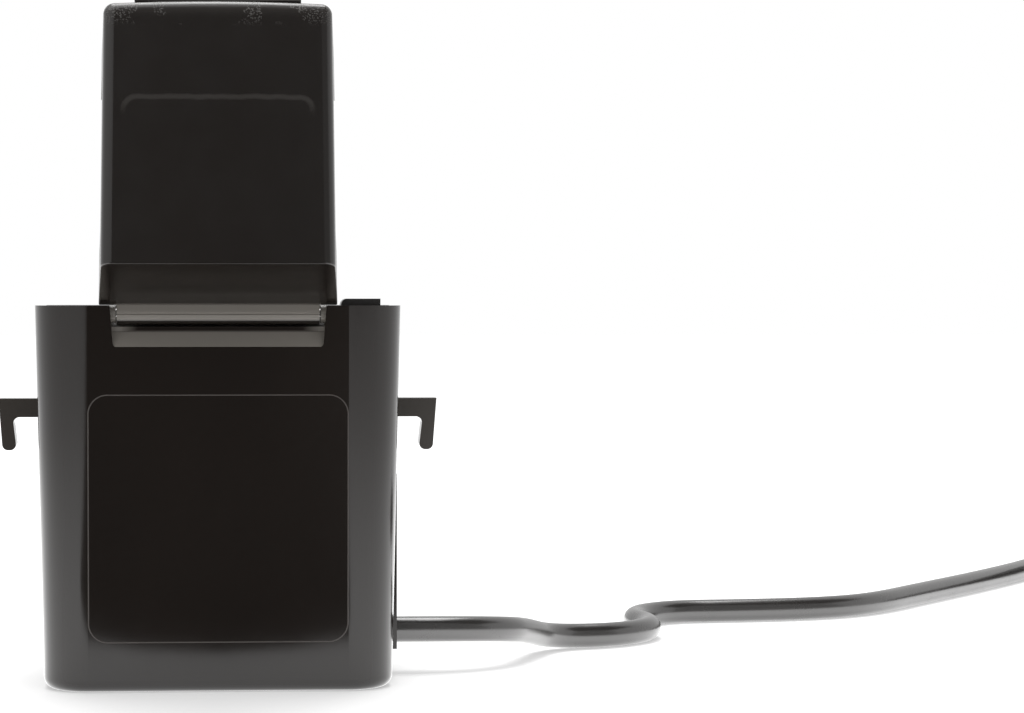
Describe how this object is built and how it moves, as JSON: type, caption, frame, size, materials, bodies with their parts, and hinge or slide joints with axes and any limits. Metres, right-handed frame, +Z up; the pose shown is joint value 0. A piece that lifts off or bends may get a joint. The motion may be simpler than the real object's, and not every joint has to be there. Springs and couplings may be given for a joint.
{
  "type": "split-core current transformer",
  "caption": "Clamp-on current sensor for an energy monitor: square black case with an open hinged lid, side tie hooks and a thin signal cord.",
  "frame": {"origin": "centre of the flat underside of the case", "axes": "+X along the clamped conductor, +Y from the hinge to the latch, +Z up"},
  "size_m": [0.2839, 0.1925, 0.1016],
  "materials": {
    "case_plastic": "gloss moulded nylon",
    "cover_plastic": "fine satin moulding",
    "pin_steel": "drawn",
    "core_steel": "ground strip",
    "former_plastic": "moulded",
    "winding_copper": "enamelled",
    "tape_film": "film tape",
    "board_laminate": "solder mask",
    "resistor_ceramic": "fired",
    "diode_glass": "glass",
    "grommet_rubber": "moulded",
    "tie_nylon": "moulded",
    "jacket_pvc": "semi-gloss extruded",
    "core_insulation": "extruded",
    "spring_steel": "rolled",
    "ferrule_tin": "tinned"
  },
  "bodies": {
    "base": {"case_body": "case_plastic", "top_cover": "cover_plastic", "hinge_pin": "pin_steel", "shoulder_plug": "cover_plastic", "lower_core_front": "core_steel", "lower_core_rear": "core_steel", "coil_former": "former_plastic", "secondary_winding": "winding_copper", "winding_tape": "tape_film", "burden_board": "board_laminate", "burden_resistors": "resistor_ceramic", "clamp_diodes": "diode_glass", "winding_leads": "winding_copper", "cable_grommet": "grommet_rubber", "cable_clamp": "tie_nylon", "cable_inner_end": "jacket_pvc", "cable_cores": "core_insulation", "cord_lead": "jacket_pvc", "cord_coil": "jacket_pvc", "coil_tie": "tie_nylon", "cord_tail": "jacket_pvc", "tail_cores": "core_insulation", "wire_ferrules": "ferrule_tin"},
    "lid": {"lid_shell": "case_plastic", "lid_liner": "cover_plastic", "core_spring": "spring_steel"},
    "upper_core_half": {"upper_core": "core_steel"},
    "latch": {"latch_clip": "case_plastic"}
  },
  "joints": [
    {"name": "lid_hinge", "type": "hinge", "parent": "base", "child": "lid", "pos_m": [0, -0.0209, 0.0553], "axis": [1, 0, 0], "range_deg": [-72, 0]},
    {"name": "latch_flex", "type": "hinge", "parent": "lid", "child": "latch", "pos_m": [0, -0.0235, 0.10036], "axis": [1, 0, 0], "range_deg": [0, 5], "stiffness_Nm_per_rad": 0.3, "springref_deg": -2.86},
    {"name": "core_float", "type": "slide", "parent": "lid", "child": "upper_core_half", "axis": [0, -0.9511, 0.309], "range_m": [0, 0.0004], "stiffness_N_per_m": 5000, "springref_m": -0.0008, "deforming": ["core_spring"]}
  ]
}
